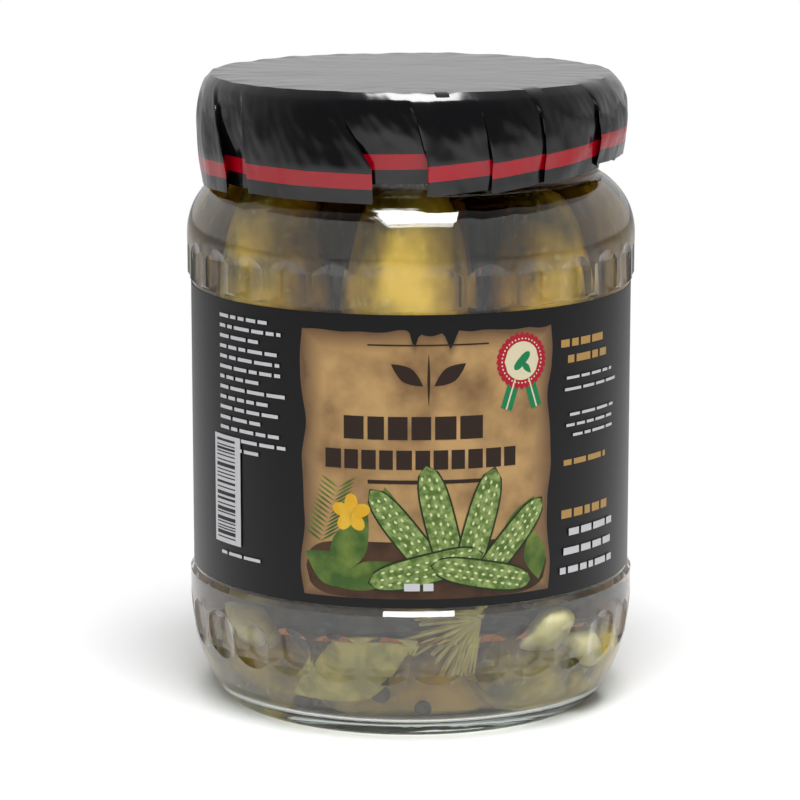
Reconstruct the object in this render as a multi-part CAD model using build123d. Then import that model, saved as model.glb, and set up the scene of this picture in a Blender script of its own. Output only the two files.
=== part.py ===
from build123d import *
import math
import os

# A sealed glass jar of pickled gherkins, in millimetres. The origin is the centre of the foot, +Z is up,
# and -Y is the front, where the middle of the label faces. The jar is a turned shape with two bands of
# shallow flutes, one above and one below the recessed label panel. A shallow metal lid closes its neck,
# and a pleated film cover hangs over the lid.

# Glass jar, outside, from the foot up
body_radius = 48.0  # over the two fluted bands
heel_curve = 36.4
heel_height = 22.0
lower_band = 6.6  # straight glass from the heel up to the label panel
panel_height = 62.4
upper_band = 10.0  # straight glass from the panel up to the shoulder
shoulder_curve = 14.0
neck_radius = 40.0
neck_height = 19.65  # from the shoulder up to the lip
foot_fillet = 3.0
neck_fillet = 2.0
lip_fillet = 1.0

# Foot: a flat standing ring round a shallow push-up
foot_ring_width = 6.1
push_up = 1.6

# Glass jar, inside
wall = 3.0
neck_wall = 2.8
floor_thickness = 3.8
floor_fillet = 5.0

# Label panel, recessed into the glass
panel_recess = 0.9
panel_step = 1.0  # height of the sloped step at each end of the panel

# Flutes
flute_count = 28
flute_land = 1.3  # width of the rib left between two flutes
flute_depth = 0.9
flute_end_slope = 0.37  # outward run of a flute's sloped end for each millimetre of height
flute_end_length = 5.0
upper_flute_height = 7.0  # flat floor of an upper flute, from the panel up
lower_flute_height = 7.0
lower_flute_drop = 7.1  # from the panel down to the flat floor of a lower flute

# Contents
headspace = 13.3  # from the lip down to the brine

# Label: one strip of paper wrapped right round, its end glued over its start at the back
label_thickness = 0.15
glue_line = 0.02
label_margin = 0.65  # bare panel above and below the label
label_overlap = 8.0

# Lid
lid_room = 2.6  # between the neck and the lid's side, where the thread runs
lid_plate = 0.3
lid_height = 10.5
lid_curl = 0.9  # radius of the rolled lower edge
lid_shoulder = 1.2
seal_thickness = 0.9
seal_width = 5.2
seal_overhang = 1.3  # how far the seal reaches past the lip

# Film cover
film = 0.3
film_ease = 0.12  # room between the lid's side and the inner face of the film
fold_drop = 0.5  # height of the crease round the edge of the flat top
belly = 1.6  # how far the skirt stands off the lid where it bellies out
belly_drop = 6.0  # how far under the top it does so
facets = 90  # round the cover

# The hem, as (angle in degrees from the front, anticlockwise seen from above; drop below the top;
# stand-off from the lid's side). The skirt is gathered into flat pleats, and each step in the stand-off
# is a pleat's edge.
hem = (
    (-80, 23.8, 1.6),
    (-57, 22.4, 0.8),
    (-54, 21.2, 0.1),
    (-48, 21.4, 0.2),
    (-45, 22.0, 1.2),
    (-13, 22.2, 1.3),
    (-8, 18.4, 0.1),
    (2, 18.2, 0.1),
    (6, 20.8, 1.2),
    (21, 19.6, 0.7),
    (25, 20.4, 1.2),
    (38, 18.8, 0.5),
    (41, 19.2, 1.1),
    (60, 17.8, 0.4),
    (64, 16.8, 1.5),
    (88, 16.6, 1.9),
    (93, 19.2, 0.3),
    (108, 20.4, 0.7),
    (113, 18.8, 1.3),
    (135, 20.6, 0.4),
    (140, 22.2, 1.2),
    (164, 21.0, 0.6),
    (169, 19.4, 1.2),
    (190, 20.2, 0.3),
    (195, 22.0, 1.3),
    (217, 20.8, 0.5),
    (222, 19.0, 1.2),
    (243, 20.6, 0.3),
    (248, 22.8, 1.2),
    (266, 22.2, 0.5),
    (271, 23.4, 0.9),
)

# Heights and radii that follow
panel_z = heel_height + lower_band
panel_top = panel_z + panel_height
shoulder_z = panel_top + upper_band
shoulder_centre = body_radius - shoulder_curve
lip_z = shoulder_z + math.sqrt(shoulder_curve**2 - (neck_radius - shoulder_centre) ** 2) + neck_height
foot_radius = body_radius - heel_curve + math.sqrt(heel_curve**2 - heel_height**2)
lid_radius = neck_radius + lid_room + lid_plate
lid_top = lip_z + seal_thickness + lid_plate

os.makedirs("parts", exist_ok=True)


def turned(corners, arcs, fillets):
    """A solid turned about Z. corners are (radius, z); arcs maps a corner's index to the radius of the
    arc that leaves it, and fillets maps a rounded corner's index to its radius."""
    with BuildPart() as body:
        with BuildSketch(Plane.XZ) as section:
            with BuildLine():
                for i, start in enumerate(corners):
                    end = corners[(i + 1) % len(corners)]
                    if i in arcs:
                        RadiusArc(start, end, arcs[i])
                    else:
                        Line(start, end)
            make_face()
            for i, radius in fillets.items():
                near = section.vertices().sort_by_distance(corners[i])[0]
                fillet(near, radius)
        revolve(axis=Axis.Z)
    return body.part


def outside():
    """The jar's outer form, filled, before the flutes are cut."""
    ring_inner = foot_radius - foot_fillet - foot_ring_width
    dome = (ring_inner**2 + push_up**2) / (2 * push_up)
    panel_radius = body_radius - panel_recess
    corners = [
        (0, push_up),
        (ring_inner, 0),
        (foot_radius, 0),
        (body_radius, heel_height),
        (body_radius, panel_z - panel_step),
        (panel_radius, panel_z),
        (panel_radius, panel_top),
        (body_radius, panel_top + panel_step),
        (body_radius, shoulder_z),
        (neck_radius, lip_z - neck_height),
        (neck_radius, lip_z),
        (0, lip_z),
    ]
    return turned(corners, {0: dome, 2: -heel_curve, 8: -shoulder_curve}, {2: foot_fillet, 9: neck_fillet})


def inside(top):
    """The room inside the jar, from its floor up to the height top."""
    inner_radius = body_radius - wall
    inner_heel = heel_curve - wall
    inner_shoulder = shoulder_curve - wall
    floor_radius = body_radius - heel_curve + math.sqrt(inner_heel**2 - (heel_height - floor_thickness) ** 2)
    bore = neck_radius - neck_wall
    bore_z = shoulder_z + math.sqrt(inner_shoulder**2 - (bore - shoulder_centre) ** 2)
    corners = [
        (0, floor_thickness),
        (floor_radius, floor_thickness),
        (inner_radius, heel_height),
        (inner_radius, shoulder_z),
        (bore, bore_z),
        (bore, top),
        (0, top),
    ]
    return turned(corners, {1: -inner_heel, 3: -inner_shoulder}, {1: floor_fillet, 4: neck_fillet})


def flute_cutter(centre_radius, bottom, top, lean, lower_end):
    """A long round cutter that stands at +X and leans outwards from the foot up, for a flute whose floor
    is at centre_radius half-way up. It has a cone at its top, and one below if asked."""
    half_width = body_radius * math.sin(math.pi / flute_count) - flute_land / 2
    sagitta = flute_depth - (body_radius - math.sqrt(body_radius**2 - half_width**2))
    radius = (half_width**2 + sagitta**2) / (2 * sagitta)
    tip = radius - flute_end_slope * flute_end_length
    cone_z = (top - bottom + flute_end_length) / 2
    cutter = Cylinder(radius, top - bottom) + Pos(0, 0, cone_z) * Cone(radius, tip, flute_end_length)
    if lower_end:
        cutter += Pos(0, 0, -cone_z) * Cone(tip, radius, flute_end_length)
    return Pos(centre_radius, 0, (top + bottom) / 2) * Rot(0, lean, 0) * Pos(radius, 0, 0) * cutter


def cut_flutes(glass, cutter):
    """Cuts the flute all round, with a rib in the middle of the front."""
    pitch = 360 / flute_count
    return glass - [Rot(0, 0, pitch * (i + 0.5) - 90) * cutter for i in range(flute_count)]


def make_jar():
    floor_radius = body_radius - flute_depth
    upper = flute_cutter(floor_radius, panel_top, panel_top + upper_flute_height, 0, False)
    top = panel_z - lower_flute_drop
    bottom = top - lower_flute_height
    heel_set_back = heel_curve - math.sqrt(heel_curve**2 - max(0, heel_height - bottom) ** 2)
    lean = math.degrees(math.atan(heel_set_back / lower_flute_height))
    lower = flute_cutter(floor_radius - heel_set_back / 2, bottom, top, lean, True)
    glass = cut_flutes(cut_flutes(outside(), upper), lower)
    glass -= inside(lip_z + lip_fillet)
    lip = glass.edges().filter_by(GeomType.CIRCLE).filter_by_position(Axis.Z, lip_z - 0.01, lip_z + 0.01)
    return fillet(lip, lip_fillet)


def make_brine():
    return inside(lip_z - headspace)


def make_label():
    """A closed band, thicker at the back where the strip's end lies over its start."""
    inner = body_radius - panel_recess + glue_line
    outer = inner + label_thickness
    height = panel_height - 2 * label_margin
    middle = panel_z + panel_height / 2
    band = Pos(0, 0, middle) * (Cylinder(outer, height) - Cylinder(inner, height))
    lap = Plane.YZ * Pos((inner + outer) / 2, middle) * Rectangle(
        2 * label_thickness, height, align=(Align.MIN, Align.CENTER)
    )
    return band + revolve(lap, Axis.Z, revolution_arc=math.degrees(label_overlap / outer))


def make_lid():
    """A pressed plate with a side wall and a rolled lower edge, and a ring of seal under its rim."""
    bottom = lid_top - lid_height
    cup = Pos(0, 0, (lid_top + bottom + lid_curl) / 2) * Cylinder(lid_radius, lid_height - lid_curl)
    cup = fillet(cup.edges().sort_by(Axis.Z)[-1], lid_shoulder)
    hollow_top = lid_top - lid_plate
    hollow = Pos(0, 0, (hollow_top + bottom) / 2) * Cylinder(lid_radius - lid_plate, hollow_top - bottom)
    hollow = fillet(hollow.edges().sort_by(Axis.Z)[-1], lid_shoulder - lid_plate)
    curl = Pos(0, 0, bottom + lid_curl) * Torus(lid_radius - lid_curl, lid_curl)
    seal_outer = neck_radius + seal_overhang
    seal = Cylinder(seal_outer, seal_thickness) - Cylinder(seal_outer - seal_width, seal_thickness)
    return (cup - hollow) + curl + Pos(0, 0, lip_z + seal_thickness / 2) * seal


def hem_point(angle):
    """Drop and stand-off of the hem at an angle in degrees, between the two nearest listed points."""
    first = hem[0][0]
    angle = first + (angle - first) % 360
    closed = hem + ((first + 360, *hem[0][1:]),)
    for before, after in zip(closed, closed[1:]):
        if before[0] <= angle <= after[0]:
            share = (angle - before[0]) / (after[0] - before[0])
            return [a + (b - a) * share for a, b in zip(before[1:], after[1:])]


def cover_loops(inset):
    """Rings of points down the cover: the edge of the flat top, the crease, the belly and the hem."""
    top = lid_top + film - inset
    rim = lid_radius + film_ease + film - inset
    loops = [[], [], [], []]
    for i in range(facets):
        angle = 360 * i / facets
        drop, stand_off = hem_point(angle)
        corners = (
            (rim - fold_drop, top),
            (rim, top - fold_drop),
            (rim + belly, top - belly_drop),
            (rim + stand_off, lid_top + film - drop),
        )
        turn = math.radians(angle - 90)
        for loop, (radius, z) in zip(loops, corners):
            loop.append(Vector(radius * math.cos(turn), radius * math.sin(turn), z))
    return loops


def strip(lower, upper):
    """Two triangles for each step between two rings of points."""
    faces = []
    for i in range(len(lower)):
        j = (i + 1) % len(lower)
        for corners in ((lower[i], lower[j], upper[j]), (lower[i], upper[j], upper[i])):
            faces.append(Face(Wire.make_polygon(corners, close=True)))
    return faces


def make_cover():
    """A thin faceted shell: outer and inner skins joined along the hem."""
    outer, inner = cover_loops(0), cover_loops(film)
    faces = [Face(Wire.make_polygon(skin[0], close=True)) for skin in (outer, inner)]
    for skin in (outer, inner):
        for above, below in zip(skin, skin[1:]):
            faces += strip(below, above)
    faces += strip(outer[-1], inner[-1])
    return Solid(Shell(faces))


pieces = {
    "glass_jar": make_jar,
    "brine": make_brine,
    "label": make_label,
    "lid": make_lid,
    "lid_cover": make_cover,
}
for node, make in pieces.items():
    solid = make()
    solid.label = node
    export_step(solid, f"parts/{node}.step")
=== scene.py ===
import math
import random

import bpy
from mathutils import Matrix, Vector, noise


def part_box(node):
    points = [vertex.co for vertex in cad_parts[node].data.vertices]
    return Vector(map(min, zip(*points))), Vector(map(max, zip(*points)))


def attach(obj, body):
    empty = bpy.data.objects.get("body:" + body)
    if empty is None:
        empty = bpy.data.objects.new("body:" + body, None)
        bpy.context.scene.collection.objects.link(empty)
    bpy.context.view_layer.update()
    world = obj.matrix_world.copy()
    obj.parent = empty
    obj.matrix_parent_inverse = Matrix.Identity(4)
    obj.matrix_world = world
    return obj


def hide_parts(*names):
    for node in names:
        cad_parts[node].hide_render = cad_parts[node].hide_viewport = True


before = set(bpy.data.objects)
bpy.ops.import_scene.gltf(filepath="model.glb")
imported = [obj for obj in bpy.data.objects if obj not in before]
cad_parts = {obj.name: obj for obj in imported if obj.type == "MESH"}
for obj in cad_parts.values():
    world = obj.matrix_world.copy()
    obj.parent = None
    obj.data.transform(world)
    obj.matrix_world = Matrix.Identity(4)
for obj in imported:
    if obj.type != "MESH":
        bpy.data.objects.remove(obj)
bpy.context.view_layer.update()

# Glass jar. Clear soda-lime glass blown in a two-part mould, which leaves two bands of shallow flutes and
# softens every edge. The CAD shape is the finished one, so it stays and takes the glass.
mm = 0.001
jar = bpy.data.objects["glass_jar"]
jar_low, jar_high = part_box("glass_jar")
body_radius = (jar_high.x - jar_low.x) / 2


def colour(code):
    """An sRGB hex colour as linear red, green, blue and alpha."""
    channels = [int(code[i : i + 2], 16) / 255 for i in (0, 2, 4)]
    return (*[c / 12.92 if c <= 0.04045 else ((c + 0.055) / 1.055) ** 2.4 for c in channels], 1.0)


def add_node(tree, kind, inputs=None, **settings):
    """One shader node, with its settings and each input set to a value or linked to a socket."""
    node = tree.nodes.new(kind)
    for name, value in settings.items():
        setattr(node, name, value)
    for name, value in (inputs or {}).items():
        if isinstance(value, bpy.types.NodeSocket):
            tree.links.new(value, node.inputs[name])
        else:
            node.inputs[name].default_value = value
    return node


def new_tree(name):
    """A new material and its empty node tree."""
    material = bpy.data.materials.new(name)
    material.use_nodes = True
    material.node_tree.nodes.clear()
    return material, material.node_tree


def give(piece, material):
    """Puts one material all over a piece."""
    piece.data.materials.clear()
    piece.data.materials.append(material)


def clear_solid(name, code, gloss, ior, absorbed, density):
    """A clear material that bends light, tints what passes through it and lets lamp light in."""
    material, tree = new_tree(name)
    surface = add_node(
        tree,
        "ShaderNodeBsdfPrincipled",
        {
            "Base Color": colour(code),
            "Roughness": 0.0,
            "IOR": ior,
            "Specular IOR Level": gloss,
            "Transmission Weight": 1.0,
        },
    )
    passing = add_node(tree, "ShaderNodeBsdfTransparent", {"Color": colour(code)})
    rays = add_node(tree, "ShaderNodeLightPath")
    mixed = add_node(tree, "ShaderNodeMixShader", {0: rays.outputs["Is Shadow Ray"], 1: surface.outputs[0]})
    tree.links.new(passing.outputs[0], mixed.inputs[2])
    volume = add_node(
        tree, "ShaderNodeVolumeAbsorption", {"Color": colour(absorbed), "Density": density}
    )
    add_node(
        tree, "ShaderNodeOutputMaterial", {"Surface": mixed.outputs[0], "Volume": volume.outputs[0]}
    )
    return material


glass = clear_solid("soda_lime_glass_blown", "fbfefc", gloss=0.5, ior=1.5, absorbed="b8e0c8", density=3.0)
give(jar, glass)

# Brine. Clear yellow-green vinegar brine, poured over the gherkins before the jar is closed. It reaches
# just into the wall of the glass, so that no film of air shows between them.
wall_overlap = 0.25 * mm


def copy_node(node, name):
    """A copy of a CAD node with its triangles merged into one skin."""
    piece = bpy.data.objects[node].copy()
    piece.data = bpy.data.objects[node].data.copy()
    piece.name = name
    for key in list(piece.keys()):
        del piece[key]
    bpy.context.scene.collection.objects.link(piece)
    piece.parent = None
    bpy.ops.object.select_all(action="DESELECT")
    bpy.context.view_layer.objects.active = piece
    piece.select_set(True)
    bpy.ops.object.mode_set(mode="EDIT")
    bpy.ops.mesh.select_all(action="SELECT")
    bpy.ops.mesh.remove_doubles(threshold=0.002 * mm)
    return piece


brine = copy_node("brine", "brine_liquid")
bpy.ops.transform.shrink_fatten(value=wall_overlap)
bpy.ops.object.mode_set(mode="OBJECT")
bpy.ops.object.shade_smooth_by_angle(angle=math.radians(35))
vinegar = clear_solid(
    "vinegar_brine_poured", "ffffff", gloss=0.0, ior=1.333, absorbed="d9b848", density=62.0
)
give(brine, vinegar)
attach(brine, "root")
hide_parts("brine")

# Gherkins. Small whole cucumbers, pickled and packed by hand, upright round the jar over a lower layer
# laid on its side. Their skin is warty, waxy and a little uneven in colour.
dice = random.Random(7)
# angle from the front, distance from the axis, height of the lower end, length, diameter, lean in degrees
upright = (
    (-50, 30.2, 26, 88, 25.0, 2),
    (-2, 30.4, 25, 90, 25.5, -1),
    (46, 30.6, 24, 86, 24.0, -2),
    (97, 30.6, 23, 84, 24.0, 2),
    (149, 30.2, 25, 86, 25.0, -2),
    (203, 30.4, 22, 88, 25.0, 2),
    (256, 30.4, 24, 85, 25.0, -2),
    (0, 0.0, 24, 86, 30.0, 2),
)
# centre x, y, z, length, diameter, turn about the jar's axis in degrees
lying = (
    (27, -22, 13.5, 40, 17.0, 40),
    (4, 16, 13.5, 64, 18.0, 12),
    (-24, 18, 13.5, 40, 18.0, -50),
    (30, 12, 13.5, 38, 17.0, 84),
    (2, -26, 12.6, 46, 16.0, 6),
    (-27, -16, 13.5, 36, 17.0, -56),
    (-2, -4, 13.5, 60, 18.0, -14),
)
end_bluntness = 3.2
upper_taper = 0.07
lump_depth = 0.9
lump_scale = 0.09
wart_depth = 0.55
wart_scale = 0.21
wart_reach = 0.34
rib_depth = 0.16
rib_count = 10


def gherkin(name, length, diameter):
    """One gherkin, standing on its lower end at the origin, with blunt ends, lumps and warts."""
    bpy.ops.object.select_all(action="DESELECT")
    bpy.ops.mesh.primitive_uv_sphere_add(segments=56, ring_count=72, radius=0.5)
    piece = bpy.context.object
    piece.name = name
    bow = dice.uniform(0.6, 2.4)
    seed = Vector((dice.uniform(0, 50), dice.uniform(0, 50), dice.uniform(0, 50)))
    for vertex in piece.data.vertices:
        x, y, z = vertex.co * 2
        blunt = (1 - abs(z) ** end_bluntness) ** 0.5 / max(1e-6, (1 - z * z) ** 0.5) if abs(z) < 1 else 0
        girth = diameter / 2 * blunt * (1 - upper_taper * z)
        point = Vector((x * girth, y * girth, z * length / 2))
        outward = Vector((x, y, z * 0.5)).normalized()
        lumps = noise.noise(point * lump_scale + seed) * lump_depth
        cell = noise.voronoi(point * wart_scale + seed)[0][0]
        wart = max(0.0, 1 - cell / wart_reach) ** 1.5 * wart_depth * (1 - abs(z) ** 6)
        ribs = rib_depth * math.cos(rib_count * math.atan2(y, x) + seed.x)
        point += outward * (lumps + wart + ribs)
        point.x += bow * (1 - z * z)
        vertex.co = (point + Vector((0, 0, length / 2))) * mm
    bpy.ops.object.shade_smooth()
    return piece


def turn_and_move(piece, matrix):
    """Puts a finished piece in its place, in its mesh."""
    piece.data.transform(matrix)
    piece.data.update()


def join(name, parts):
    """Joins like pieces into one."""
    bpy.ops.object.select_all(action="DESELECT")
    for part in parts:
        part.select_set(True)
    bpy.context.view_layer.objects.active = parts[0]
    bpy.ops.object.join()
    parts[0].name = name
    return parts[0]


def place(x, y, z):
    """A move to a point given in millimetres."""
    return Matrix.Translation(Vector((x, y, z)) * mm)


def grain(tree, scale, detail):
    """Noise that is fixed to the piece, from 0 to 1."""
    where = add_node(tree, "ShaderNodeTexCoord").outputs["Object"]
    inputs = {"Vector": where, "Scale": scale, "Detail": detail}
    return add_node(tree, "ShaderNodeTexNoise", inputs).outputs[0]


def ranged(tree, value, low, high, to_low=0.0, to_high=1.0):
    """A value taken from one range to another and held at its ends."""
    inputs = {"Value": value, "From Min": low, "From Max": high, "To Min": to_low, "To Max": to_high}
    return add_node(tree, "ShaderNodeMapRange", inputs).outputs[0]


def blend(tree, share, first, second):
    """A colour between two others. The mix node's colours are its sockets 6, 7 and, coming out, 2."""
    inputs = {"Factor": share, 6: first, 7: second}
    return add_node(tree, "ShaderNodeMix", inputs, data_type="RGBA").outputs[2]


def relief(tree, height, strength, depth):
    """A surface direction tilted by a fine relief."""
    inputs = {"Height": height, "Strength": strength, "Distance": depth * mm}
    return add_node(tree, "ShaderNodeBump", inputs).outputs[0]


def coat(tree, inputs):
    """Ends a material's tree with one opaque surface."""
    surface = add_node(tree, "ShaderNodeBsdfPrincipled", inputs)
    add_node(tree, "ShaderNodeOutputMaterial", {"Surface": surface.outputs[0]})


def skin_material():
    """Pickled cucumber skin: waxy olive green, mottled along its length and flecked with pale spots."""
    material, tree = new_tree("cucumber_skin_pickled")
    flecks = grain(tree, 520.0, 3.0)
    tone = add_node(tree, "ShaderNodeValToRGB", {"Fac": grain(tree, 90.0, 4.0)})
    ramp = tone.color_ramp
    ramp.elements[0].position, ramp.elements[0].color = 0.34, colour("5b5216")
    ramp.elements[1].position, ramp.elements[1].color = 0.68, colour("c4a93a")
    ramp.elements.new(0.5).color = colour("9c861a")
    fleck_share = ranged(tree, flecks, 0.58, 0.74, 0.0, 0.45)
    coat(
        tree,
        {
            "Base Color": blend(tree, fleck_share, tone.outputs[0], colour("c4b878")),
            "Roughness": 0.42,
            "IOR": 1.4,
            "Subsurface Weight": 0.15,
            "Subsurface Radius": (0.6, 0.5, 0.12),
            "Subsurface Scale": 2 * mm,
            "Normal": relief(tree, flecks, 0.25, 0.3),
        },
    )
    return material


cucumber_skin = skin_material()
whole = []
for number, (angle, out, low, length, diameter, lean) in enumerate(upright):
    piece = gherkin(f"gherkin_{number}", length, diameter)
    turn = math.radians(angle - 90)
    spin = Matrix.Rotation(dice.uniform(0, 6.28), 4, "Z")
    tilt = Matrix.Rotation(math.radians(lean), 4, Vector((math.cos(turn), math.sin(turn), 0)))
    turn_and_move(piece, place(out * math.cos(turn), out * math.sin(turn), low) @ tilt @ spin)
    whole.append(piece)
for number, (x, y, z, length, diameter, yaw) in enumerate(lying):
    piece = gherkin(f"gherkin_low_{number}", length, diameter)
    flat = Matrix.Rotation(math.radians(yaw), 4, "Z") @ Matrix.Rotation(math.radians(90), 4, "Y")
    turn_and_move(piece, place(x, y, z) @ flat @ place(0, 0, -length / 2))
    whole.append(piece)
for piece in whole:
    give(piece, cucumber_skin)
    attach(piece, "root")


# Herbs and garlic. A leaf, an umbel of dill, cloves of garlic and peppercorns, dropped in under the
# gherkins, where they show through the clear band below the label.
umbel_top = Vector((13.5, -41.0, 26.0))
umbel_stem_radius = 1.7
stalk_radius = 0.6
stalk_count = 22
leaf_middle = 15.0
leaf_climb = 13
leaf_width = 15
leaf_thickness = 0.4
# each clove: centre x, y, z, length, tilt in degrees
clove_places = ((34, -24, 15, 17, 60), (27, -33, 21, 15, 105), (-32, -24, 21, 15, 70))
clove_girth = 9.5
corn_count = 5
corn_ring = 35


def plant_material(name, code, mottle, roughness=0.5):
    """A pickled plant's surface: soft, wet and mottled between two tones."""
    material, tree = new_tree(name)
    share = ranged(tree, grain(tree, 240.0, 4.0), 0.38, 0.66)
    tint = blend(tree, share, colour(code), colour(mottle))
    coat(tree, {"Base Color": tint, "Roughness": roughness})
    return material


def sunk(piece, material):
    """A finished piece that lies in the brine."""
    give(piece, material)
    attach(piece, "root")


def stalk(start, end, radius):
    """A thin tapering stalk between two points."""
    way = end - start
    bpy.ops.object.select_all(action="DESELECT")
    bpy.ops.mesh.primitive_cone_add(
        vertices=8, radius1=radius * mm, radius2=radius * 0.55 * mm, depth=way.length * mm
    )
    turn = way.to_track_quat("Z", "Y").to_matrix().to_4x4()
    turn_and_move(bpy.context.object, place(*((start + end) / 2)) @ turn)
    return bpy.context.object


stalks = [stalk(umbel_top + Vector((1.5, 1.5, 6)), umbel_top, umbel_stem_radius)]
for number in range(stalk_count):
    spread = math.radians(-100 + 96 * number / (stalk_count - 1) + dice.uniform(-4, 4))
    reach = dice.uniform(11.5, 16.5)
    tip = umbel_top + Vector((math.sin(spread) * reach, dice.uniform(-0.6, 5), -math.cos(spread) * reach))
    flat = math.hypot(tip.x, tip.y)
    room = body_radius / mm - 5.5 - 0.5 * max(0, 16 - tip.z)
    if flat > room:
        tip.x, tip.y = tip.x * room / flat, tip.y * room / flat
    stalks.append(stalk(umbel_top, tip, stalk_radius))
dill = join("dill_umbel", stalks)
bpy.ops.object.shade_smooth()
sunk(dill, plant_material("dill_stalk_pickled", "b5a848", "d0c470"))

bpy.ops.object.select_all(action="DESELECT")
bpy.ops.mesh.primitive_grid_add(x_subdivisions=40, y_subdivisions=14, size=1)
leaf = bpy.context.object
leaf.name = "sour_leaf"
for vertex in leaf.data.vertices:
    x, y, _ = vertex.co
    half = max(0.0, 1 - abs(2 * x) ** 1.5)
    across = y * leaf_width * half
    rise = leaf_middle + x * leaf_climb - 0.8 * across
    turn = math.radians(-126 + 38 * (x + 0.5)) + across * 0.011
    out = 38.6 + 0.22 * (rise - 6) - abs(across) * 0.1 + 0.4 * math.sin(9 * x)
    vertex.co = Vector((out * math.cos(turn), out * math.sin(turn), rise)) * mm
bpy.ops.object.modifier_add(type="SOLIDIFY")
leaf.modifiers[-1].thickness = leaf_thickness * mm
bpy.ops.object.modifier_apply(modifier=leaf.modifiers[-1].name)
bpy.ops.object.shade_smooth()
sunk(leaf, plant_material("leaf_pickled", "938c3c", "c2b85e"))

cloves = []
for x, y, z, length, tilt in clove_places:
    bpy.ops.object.select_all(action="DESELECT")
    bpy.ops.mesh.primitive_uv_sphere_add(segments=28, ring_count=20, radius=0.5)
    clove = bpy.context.object
    for vertex in clove.data.vertices:
        girth = clove_girth * (1 - 0.55 * max(0, vertex.co.z * 2)) * (1 + 0.1 * (vertex.co.x > 0))
        vertex.co = Vector((vertex.co.x * girth, vertex.co.y * girth * 0.8, vertex.co.z * length)) * mm
    outward = Vector((x, y, 0)).normalized()
    turn_and_move(clove, place(x, y, z) @ Matrix.Rotation(math.radians(tilt), 4, outward))
    cloves.append(clove)
garlic = join("garlic_cloves", cloves)
bpy.ops.object.shade_smooth()
sunk(garlic, plant_material("garlic_pickled", "a89f6c", "c2b98a"))

corns = []
for number in range(corn_count):
    turn = math.radians(-90 + 120 * (dice.random() - 0.5) + 20)
    bpy.ops.object.select_all(action="DESELECT")
    bpy.ops.mesh.primitive_ico_sphere_add(subdivisions=3, radius=dice.uniform(1.7, 2.3) * mm)
    rise = 6.5 + 1.5 * (number % 3)
    turn_and_move(bpy.context.object, place(corn_ring * math.cos(turn), corn_ring * math.sin(turn), rise))
    corns.append(bpy.context.object)
pepper = join("peppercorns", corns)
bpy.ops.object.shade_smooth()
sunk(pepper, plant_material("peppercorn_dried", "2b1f14", "4a3a22", 0.7))

# Label. Coated black paper, wrapped right round the panel and glued over itself at the back. The coating
# gives a satin sheen that greys where the sides turn away.
label = bpy.data.objects["label"]
label_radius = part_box("label")[1].x


def coated_paper(name, code, roughness=0.38, speckle=0.0, dark="000000", grain_scale=170.0):
    """Printed and varnished paper in one ink, stained with a darker one, with a faint fibre relief."""
    material, tree = new_tree(name)
    share = ranged(tree, grain(tree, grain_scale, 6.0), 0.4, 0.7, 0.0, speckle)
    coat(
        tree,
        {
            "Base Color": blend(tree, share, colour(code), colour(dark)),
            "Roughness": roughness,
            "Specular IOR Level": 0.25,
            "Normal": relief(tree, grain(tree, 900.0, 3.0), 0.05, 0.05),
        },
    )
    return material


give(label, coated_paper("paper_coated_black", "09090b"))

# Print on the label. Flat fields of ink laid one over the next: an old parchment with a still life of
# gherkins, a rosette, dark title blocks, and plain bars where small print would be.
ink_step = 0.012
sheet_left, sheet_right, sheet_low, sheet_high = -23.0, 30.5, 31.2, 88.0
sheet_cuts = 90
leaf_form = (1.6, 1.0)
gherkin_form = (3.0, 0.5)
# each printed gherkin: u, z, length, width and turn, the hindmost first
printed = (
    (-1.0, 44.5, 24, 5.6, 128),
    (6.0, 47.0, 25, 6.0, 104),
    (14.0, 46.0, 25, 5.8, 74),
    (21.0, 42.5, 22, 5.2, 48),
    (3.0, 37.5, 24, 5.8, 14),
    (15.0, 36.0, 22, 5.4, 168),
)
# each row of title blocks: left end, low edge, high edge, gap, widths
title_rows = (
    (-14.0, 64.6, 69.4, 0.8, (4.2, 3.4, 4.0, 4.0, 4.4, 4.8)),
    (-18.0, 58.4, 62.4, 0.7, (3.4, 2.9, 3.0, 2.8, 3.2, 3.0, 3.0, 2.8, 3.1, 3.3, 2.6)),
)
badge_u = 23.5
badge_z = 80.0
# each line at the sides: left end, right end, low edge, height
side_lines = (
    (35, 51, 74.8, 0.6),
    (34.5, 53, 72.4, 0.6),
    (36, 52, 67.0, 0.6),
    (35, 52, 64.8, 0.6),
    (37, 52, 62.6, 0.6),
    (36, 52, 41.6, 1.5),
    (34.5, 53, 37.6, 1.5),
    (33.5, 52, 33.6, 1.4),
    (-1.5, 4.5, 33.0, 1.6),
)


def ink_shape(u, z, length, width, turn=0.0, form=(2.0, 0.5), cuts=(12, 6)):
    """A flat shape on the unrolled label. Its outline narrows towards its ends as form says; (1, 0) is
    a bar and (2, 0.5) an ellipse."""
    bpy.ops.object.select_all(action="DESELECT")
    bpy.ops.mesh.primitive_grid_add(x_subdivisions=cuts[0], y_subdivisions=cuts[1], size=1)
    piece = bpy.context.object
    along, across = math.cos(math.radians(turn)), math.sin(math.radians(turn))
    for vertex in piece.data.vertices:
        x, y, _ = vertex.co
        half = max(0.0, 1 - abs(2 * x) ** form[0]) ** form[1]
        x, y = x * length, y * width * half
        vertex.co = Vector((u + x * along - y * across, 0, z + x * across + y * along)) * mm
    return piece


def bar(left, right, low, high):
    """An upright rectangle of ink."""
    cuts = (max(1, round((right - left) / 1.5)), 1)
    return ink_shape((left + right) / 2, (low + high) / 2, right - left, high - low, 0, (1, 0), cuts)


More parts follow.
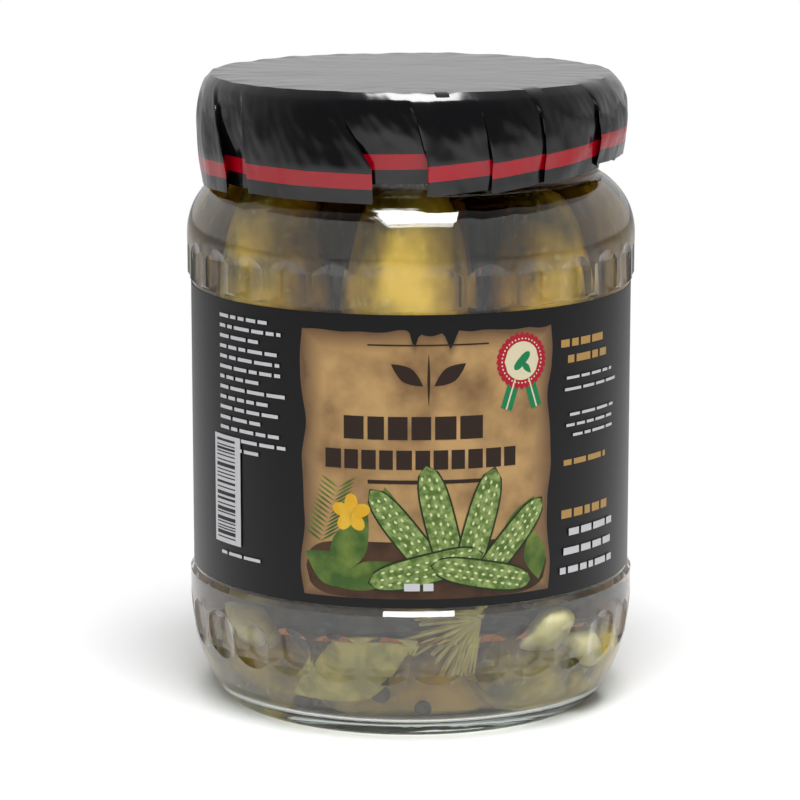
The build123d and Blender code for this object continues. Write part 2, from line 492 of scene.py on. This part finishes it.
def lay_ink(name, parts, layer, material):
    """Joins the shapes of one ink, wraps them round the label and lays them at their layer."""
    piece = join(name, parts)
    radius = label_radius + ink_step * layer * mm
    for vertex in piece.data.vertices:
        turn = vertex.co.x / label_radius
        vertex.co = (radius * math.sin(turn), -radius * math.cos(turn), vertex.co.z)
    bpy.ops.object.mode_set(mode="EDIT")
    bpy.ops.mesh.select_all(action="SELECT")
    bpy.ops.mesh.remove_doubles(threshold=0.001 * mm)
    bpy.ops.object.mode_set(mode="OBJECT")
    bpy.ops.object.shade_smooth()
    give(piece, material)
    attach(piece, "root")
    return piece


def parchment_material():
    """Parchment as printed: tan with brown stains, scorched dark along its torn edge."""
    material, tree = new_tree("ink_parchment_tan")
    stains = grain(tree, 95.0, 7.0)
    tone = add_node(tree, "ShaderNodeValToRGB", {"Fac": stains})
    ramp = tone.color_ramp
    ramp.elements[0].position, ramp.elements[0].color = 0.3, colour("7a5a32")
    ramp.elements[1].position, ramp.elements[1].color = 0.6, colour("b9935c")
    spot = add_node(tree, "ShaderNodeSeparateXYZ", {0: add_node(tree, "ShaderNodeUVMap").outputs[0]})
    sides = []
    for axis in (0, 1):
        middle = add_node(tree, "ShaderNodeMath", {0: spot.outputs[axis], 1: 0.5}, operation="SUBTRACT")
        side = add_node(tree, "ShaderNodeMath", {0: middle.outputs[0]}, operation="ABSOLUTE")
        sides.append(side.outputs[0])
    edge = add_node(tree, "ShaderNodeMath", {0: sides[0], 1: sides[1]}, operation="MAXIMUM")
    inputs = {0: stains, 1: 0.12, 2: edge.outputs[0]}
    torn = add_node(tree, "ShaderNodeMath", inputs, operation="MULTIPLY_ADD")
    scorch = ranged(tree, torn.outputs[0], 0.48, 0.56, 0.0, 0.85)
    ink = blend(tree, scorch, tone.outputs[0], colour("4a2c16"))
    coat(tree, {"Base Color": ink, "Roughness": 0.42})
    return material


parchment = ink_shape(0, 0, 1000, 1000, 0, (1, 0), (sheet_cuts, sheet_cuts))
for vertex in parchment.data.vertices:
    x, z = vertex.co.x + 0.5, vertex.co.z + 0.5
    rag = Vector((x * 6, z * 6, 1.7))
    u = sheet_left + (sheet_right - sheet_left) * x + 1.3 * noise.noise(rag) * abs(2 * x - 1) ** 6
    notch = 3.6 * max(0, 1 - abs(x - 0.44) / 0.02) + 4.0 * max(0, 1 - abs(x - 0.58) / 0.03)
    height = sheet_high - (notch + 1.2 + 1.6 * noise.noise(Vector((x * 9, 4.0, 2.0)))) * z**8
    vertex.co = Vector((u, 0, sheet_low + (height - sheet_low) * z)) * mm
lay_ink("print_parchment", [parchment], 1, parchment_material())

ground = [ink_shape(3.75, 37.2, 52.5, 12, 0, (8, 0.4), (60, 8))]
lay_ink("print_ground", ground, 2, coated_paper("ink_wood_brown", "4b3220", 0.42, 0.8, "1f140c"))

leaves = [
    ink_shape(-13, 42, 17, 7.5, 62, leaf_form),
    ink_shape(-17, 37, 13, 7, 150, leaf_form),
    ink_shape(-9, 36, 15, 6, 20, leaf_form),
    ink_shape(23, 45, 15, 6.5, 60, leaf_form),
    ink_shape(27, 39, 11, 5.5, 100, leaf_form),
    ink_shape(-4, 49, 12, 4.5, 105, leaf_form),
]
for number in range(26):
    side = -1 if number % 2 else 1
    step = number // 2
    u, z = -19 + 0.32 * step + side * 1.9, 44 + 0.95 * step
    leaves.append(ink_shape(u, z, 4.6, 0.45, 90 - side * 58, leaf_form))
lay_ink("print_leaves", leaves, 3, coated_paper("ink_leaf_green", "3b5a22", 0.42, 0.8, "7f9040"))

for number, (u, z, length, width, turn) in enumerate(printed):
    layer = 4 + 3 * number
    rim = [ink_shape(u, z, length + 0.8, width + 0.8, turn, gherkin_form)]
    lay_ink(f"print_gherkin_rim_{number}", rim, layer, coated_paper("ink_rim_green", "1f2f12", 0.42))
    body = [ink_shape(u, z, length, width, turn, gherkin_form, (24, 8))]
    skin = coated_paper("ink_gherkin_green", "4f6a2c", 0.42, 0.9, "9db06a", 700.0)
    lay_ink(f"print_gherkin_{number}", body, layer + 1, skin)
    lean = math.radians(turn + 90)
    warts = []
    for row in range(-1, 2):
        for step in range(-5, 6):
            along = step * length / 13 + 0.5 * row
            across = row * width * 0.24
            wart_u = u + along * math.cos(lean - math.pi / 2) + across * math.cos(lean)
            wart_z = z + along * math.sin(lean - math.pi / 2) + across * math.sin(lean)
            warts.append(ink_shape(wart_u, wart_z, 0.9, 0.5, turn, cuts=(4, 3)))
    pale = coated_paper("ink_wart_pale", "c9d49c", 0.42)
    lay_ink(f"print_gherkin_warts_{number}", warts, layer + 2, pale)

petals = [
    ink_shape(-12.5 + 2.1 * math.cos(a), 49 + 2.1 * math.sin(a), 4.2, 2.8, math.degrees(a))
    for a in (0.3, 1.56, 2.81, 4.07, 5.33)
]
lay_ink("print_flower", petals, 5, coated_paper("ink_petal_yellow", "d9a520", 0.42, 0.5, "e8cf5a"))

title = []
for left, low, high, gap, widths in title_rows:
    for width in widths:
        title.append(bar(left, left + width, low, high))
        left += width + gap
title += [bar(-9, 16, 55.4, 56.2), bar(-9, 16, 84.0, 84.3)]
title += [ink_shape(3.5 + side * 4.4, 78, 8, 3.2, 90 - side * 55, leaf_form) for side in (-1, 1)]
title.append(ink_shape(3.5, 77, 11, 0.6, 90, leaf_form))
lay_ink("print_title", title, 5, coated_paper("ink_dark_brown", "2a1a10", 0.42))


def ring_of_dots(count, radius, size, cuts):
    """Small round dots set evenly on a ring about the middle of the rosette."""
    dots = []
    for number in range(count):
        a = math.tau * number / count
        u, z = badge_u + radius * math.cos(a), badge_z + radius * math.sin(a)
        dots.append(ink_shape(u, z, size, size, cuts=cuts))
    return dots


def ribbon_tails(width):
    """The two tails of the rosette."""
    return [
        ink_shape(badge_u + side * 2.6, badge_z - 6.8, 6.4, width, 90 + side * 18, (1, 0))
        for side in (-1, 1)
    ]


scallops = [ink_shape(badge_u, badge_z, 10.6, 10.6)] + ring_of_dots(28, 5.25, 1.3, (4, 4))
lay_ink("print_ribbon", ribbon_tails(2.6), 5, coated_paper("ink_ribbon_green", "137a4a", 0.4))
lay_ink("print_rosette", scallops, 6, coated_paper("ink_rosette_red", "a8122c", 0.4))
disc = [ink_shape(badge_u, badge_z, 8.0, 8.0)] + ring_of_dots(36, 4.6, 0.4, (3, 3)) + ribbon_tails(0.35)
lay_ink("print_rosette_middle", disc, 7, coated_paper("ink_cream", "d8cfae", 0.4))
sprig = [
    ink_shape(badge_u, badge_z, 5, 1.8, 45, (2.8, 0.5)),
    ink_shape(badge_u + 1, badge_z - 1.4, 3.4, 1.4, 130, leaf_form),
]
lay_ink("print_rosette_sprig", sprig, 8, coated_paper("ink_sprig_green", "137a4a", 0.4))


def words(left, right, low, high):
    """A line of short bars with gaps between them, where a line of small print would be."""
    line = []
    while left < right - 1:
        end = min(right, left + dice.uniform(1.6, 5.0))
        line.append(bar(left, end, low, high))
        left = end + 0.7
    return line


small_print = []
for row in range(14):
    low = 86.6 - 2.15 * row
    small_print += words(-47, -29.5 + dice.uniform(-5, 2.5), low, low + 0.75)
small_print += words(-47, -34, 36.0, 36.7)
for left, right, low, height in side_lines:
    small_print += words(left, right, low, low + height)
stripes = [bar(-49.5, -40.0, 38.4, 61.6)]
lay_ink("print_white", small_print + stripes, 24, coated_paper("ink_white", "c9c9cc", 0.4))
level = 39.4
bars_dark = []
while level < 60.4:
    thick = dice.choice((0.28, 0.28, 0.55, 0.8))
    bars_dark.append(bar(-48.6, -41.8, level, level + thick))
    level += thick + dice.choice((0.3, 0.5, 0.7))
lay_ink("print_stripes", bars_dark, 25, coated_paper("ink_black", "121214", 0.4))
gold = words(33.5, 49, 81.6, 83.2) + words(35.5, 49, 78.2, 79.8) + words(34.5, 49, 56.6, 57.8)
gold += words(34, 50, 45.4, 47.2)
lay_ink("print_gold", gold, 5, coated_paper("ink_gold", "b08a4c", 0.4))

# Lid. Tinplate, pressed and lacquered black. The film hides it except for its outline.
lid = bpy.data.objects["lid"]
lid_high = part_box("lid")[1]
lacquer, tree = new_tree("tinplate_lacquered_black")
haze = ranged(tree, grain(tree, 300.0, 2.0), 0.0, 1.0, 0.22, 0.34)
coat(tree, {"Base Color": colour("111113"), "Roughness": haze})
give(lid, lacquer)

# Film cover. Thin glossy black film with a red stripe, drawn over the lid, gathered into flat pleats by
# hand and shrunk with hot air, so that the pleats lie one over the next and the hem stays uneven.
film_room = 0.35
film_lift = 0.3
film_rim = lid_high.x / mm + film_room
film_top = lid_high.z / mm + film_lift
film_thickness = 0.12
stripe_low = 3.0
stripe_high = 6.2
film_belly = 1.5
film_crease = 0.6
# each pleat: first and last angle from the front, drop of the hem at each, stand-off from the lid at each
pleats = (
    (-100, -57, 23.4, 22.6, 0.9, 2.0),
    (-61, -45, 21.2, 21.4, 0.1, 0.1),
    (-49, -10, 22.0, 22.3, 1.2, 1.7),
    (-15, 8, 18.5, 18.2, 0.0, 0.0),
    (4, 25, 20.8, 19.5, 1.5, 0.5),
    (21, 41, 20.5, 19.0, 1.5, 0.4),
    (37, 63, 19.4, 17.9, 1.3, 0.5),
    (59, 97, 16.8, 16.7, 1.6, 2.1),
    (92, 115, 19.2, 20.4, 0.2, 0.6),
    (110, 139, 18.8, 20.6, 1.3, 0.3),
    (134, 169, 22.2, 21.0, 1.4, 0.5),
    (164, 195, 19.4, 20.2, 1.2, 0.3),
    (190, 222, 22.0, 20.8, 1.5, 0.5),
    (216, 248, 19.0, 20.6, 1.3, 0.3),
    (243, 265, 22.8, 22.2, 1.4, 0.3),
)
film_columns = 900
film_rows = 44
top_rows = 14
top_height = 30.0


def pleat_course():
    """The hem as one line of (length run, angle, drop, stand-off), which doubles back at each fold."""
    course = []
    run = 0.0
    for first, last, drop_a, drop_b, out_a, out_b in pleats:
        for angle, drop, out in ((first, drop_a, out_a), (last, drop_b, out_b)):
            if course:
                run += abs(angle - course[-1][1])
            course.append((run, angle, drop, out))
    first = course[0]
    course.append((run + abs(first[1] + 360 - course[-1][1]), first[1] + 360, first[2], first[3]))
    return course


course = pleat_course()


def on_course(share):
    """Angle, drop and stand-off at a share of the hem's run."""
    run = share * course[-1][0]
    for before, after in zip(course, course[1:]):
        if run <= after[0]:
            part = (run - before[0]) / (after[0] - before[0])
            return [a + (b - a) * part for a, b in zip(before[1:], after[1:])]
    return course[-1][1:]


def film_point(share, row):
    """A point of the film and its height above the hem: the first rows cross the flat top, which
    counts as far above it, and the others run down the skirt."""
    angle, drop, out = on_course(share)
    plain = course[0][1] + 360 * share
    if row < top_rows:
        radius = (film_rim - film_crease) * (row / (top_rows - 1)) ** 0.8
        turn = math.radians(plain - 90)
        flat = Vector((radius * math.cos(turn), radius * math.sin(turn), film_top))
        edge = (row / (top_rows - 1)) ** 4
        flat.z += 0.12 * noise.noise(flat * 0.07) + 0.25 * edge * noise.noise(flat * 0.22)
        return flat, top_height
    down = (row - top_rows + 1) / (film_rows - top_rows)
    fold = min(1.0, down * 1.5) ** 0.8
    turn = math.radians(plain + (angle - plain) * fold - 90)
    belly = film_belly * math.sin(math.pi * down**0.6)
    ring = Vector((math.cos(turn), math.sin(turn), 0))
    crumple = noise.noise(Vector((plain * 0.16, down * 2.2, 3.0))) * 0.45
    crumple += noise.noise(Vector((plain * 0.5, down * 5.0, 9.0))) * 0.12
    radius = film_rim + belly + out * fold + crumple * min(1, 4 * down)
    depth = film_crease + (drop - film_crease) * down
    return ring * radius + Vector((0, 0, film_top - depth)), drop - depth


bpy.ops.object.select_all(action="DESELECT")
bpy.ops.mesh.primitive_grid_add(x_subdivisions=film_columns, y_subdivisions=film_rows - 1, size=1)
cover = bpy.context.object
cover.name = "film_cover"
heights = {}
for vertex in cover.data.vertices:
    row = round((0.5 - vertex.co.y) * (film_rows - 1))
    point, height = film_point(vertex.co.x + 0.5, row)
    vertex.co = point * mm
    heights[vertex.index] = height
film_map = cover.data.uv_layers[0]
for loop in cover.data.loops:
    film_map.data[loop.index].uv = (film_map.data[loop.index].uv[0], heights[loop.vertex_index] * mm)
bpy.ops.object.mode_set(mode="EDIT")
bpy.ops.mesh.select_all(action="SELECT")
bpy.ops.mesh.remove_doubles(threshold=0.01 * mm)
bpy.ops.mesh.normals_make_consistent(inside=False)
bpy.ops.object.mode_set(mode="OBJECT")
bpy.ops.object.modifier_add(type="SOLIDIFY")
cover.modifiers[-1].thickness = film_thickness * mm
cover.modifiers[-1].offset = 0
bpy.ops.object.modifier_apply(modifier=cover.modifiers[-1].name)
bpy.ops.object.shade_smooth_by_angle(angle=math.radians(40))

film, tree = new_tree("shrink_film_gloss_black")
spot = add_node(tree, "ShaderNodeUVMap", uv_map=film_map.name)
up = add_node(tree, "ShaderNodeSeparateXYZ", {0: spot.outputs[0]}).outputs[1]
over = add_node(tree, "ShaderNodeMath", {0: up, 1: stripe_low * mm}, operation="GREATER_THAN")
under = add_node(tree, "ShaderNodeMath", {0: up, 1: stripe_high * mm}, operation="LESS_THAN")
stripe = add_node(tree, "ShaderNodeMath", {0: over.outputs[0], 1: under.outputs[0]}, operation="MULTIPLY")
coat(
    tree,
    {
        "Base Color": blend(tree, stripe.outputs[0], colour("0b0b0d"), colour("a60018")),
        "Roughness": 0.16,
        "Normal": relief(tree, grain(tree, 130.0, 2.0), 0.3, 0.4),
    },
)
give(cover, film)
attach(cover, "root")
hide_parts("lid_cover")

# Table and studio. A plain white table under one broad lamp overhead, and a room that is bright beyond the
# jar and dim behind the camera, which keeps the front of glossy black things dark.
table_size = 6
# the jar's shade on the table fades out between these distances from its axis
shade_reach = 0.07
shade_end = 0.2
room_dim = 0.1
room_bright = 0.7
camera_dip = 11.12
bpy.ops.object.select_all(action="DESELECT")
bpy.ops.mesh.primitive_plane_add(size=table_size)
table = bpy.context.object
table.name = "table"
white, tree = new_tree("table_white_matt")
surface = add_node(tree, "ShaderNodeBsdfPrincipled", {"Base Color": colour("e9e9e9"), "Roughness": 0.9})
where = add_node(tree, "ShaderNodeTexCoord").outputs["Object"]
far = add_node(tree, "ShaderNodeVectorMath", {0: where}, operation="LENGTH")
share = ranged(tree, far.outputs["Value"], shade_reach, shade_end)
lit = add_node(tree, "ShaderNodeEmission", {"Color": (1, 1, 1, 1), "Strength": 1.0})
rays = add_node(tree, "ShaderNodeLightPath")
bright = add_node(
    tree, "ShaderNodeMath", {0: share, 1: rays.outputs["Is Camera Ray"]}, operation="MULTIPLY"
)
mixed = add_node(tree, "ShaderNodeMixShader", {0: bright.outputs[0], 1: surface.outputs[0]})
tree.links.new(lit.outputs[0], mixed.inputs[2])
add_node(tree, "ShaderNodeOutputMaterial", {"Surface": mixed.outputs[0]})
give(table, white)

scene = bpy.context.scene
scene.view_settings.view_transform = "Standard"
world = bpy.data.worlds.new("studio")
scene.world = world
world.use_nodes = True
world.node_tree.nodes.clear()
tree = world.node_tree
direction = add_node(tree, "ShaderNodeTexCoord").outputs["Generated"]
depth = add_node(tree, "ShaderNodeSeparateXYZ", {0: direction}).outputs[1]
level = ranged(tree, depth, -0.5, 0.7, room_dim, room_bright)
rays = add_node(tree, "ShaderNodeLightPath")
looking = {0: rays.outputs["Is Camera Ray"], 1: rays.outputs["Is Transmission Ray"]}
seen = add_node(tree, "ShaderNodeMath", looking, operation="MAXIMUM")
strength = add_node(
    tree,
    "ShaderNodeMix",
    {"Factor": seen.outputs[0], 2: level, 3: 1.0},
    data_type="FLOAT",
)
light = add_node(
    tree, "ShaderNodeBackground", {"Color": (1, 1, 1, 1), "Strength": strength.outputs[0]}
)
add_node(tree, "ShaderNodeOutputWorld", {"Surface": light.outputs[0]})


def soft_lamp(name, spot, size, power):
    """A rectangular soft lamp that faces the middle of the jar."""
    data = bpy.data.lights.new(name, "AREA")
    data.shape = "RECTANGLE"
    data.size, data.size_y = size
    data.energy = power
    lamp = bpy.data.objects.new(name, data)
    scene.collection.objects.link(lamp)
    lamp.location = spot
    aim = Vector((0, 0, 0.07)) - Vector(spot)
    lamp.rotation_euler = aim.to_track_quat("-Z", "Y").to_euler()


soft_lamp("overhead", (0.03, -0.24, 0.8), (0.36, 0.34), 9.0)

camera_data = bpy.data.cameras.new("camera")
camera_data.lens = 155.7
camera_data.sensor_width = 36
camera = bpy.data.objects.new("camera", camera_data)
scene.collection.objects.link(camera)
camera.location = (-0.00234, -0.736, 0.2083)
camera.rotation_euler = (math.radians(90 - camera_dip), 0, 0)
scene.camera = camera
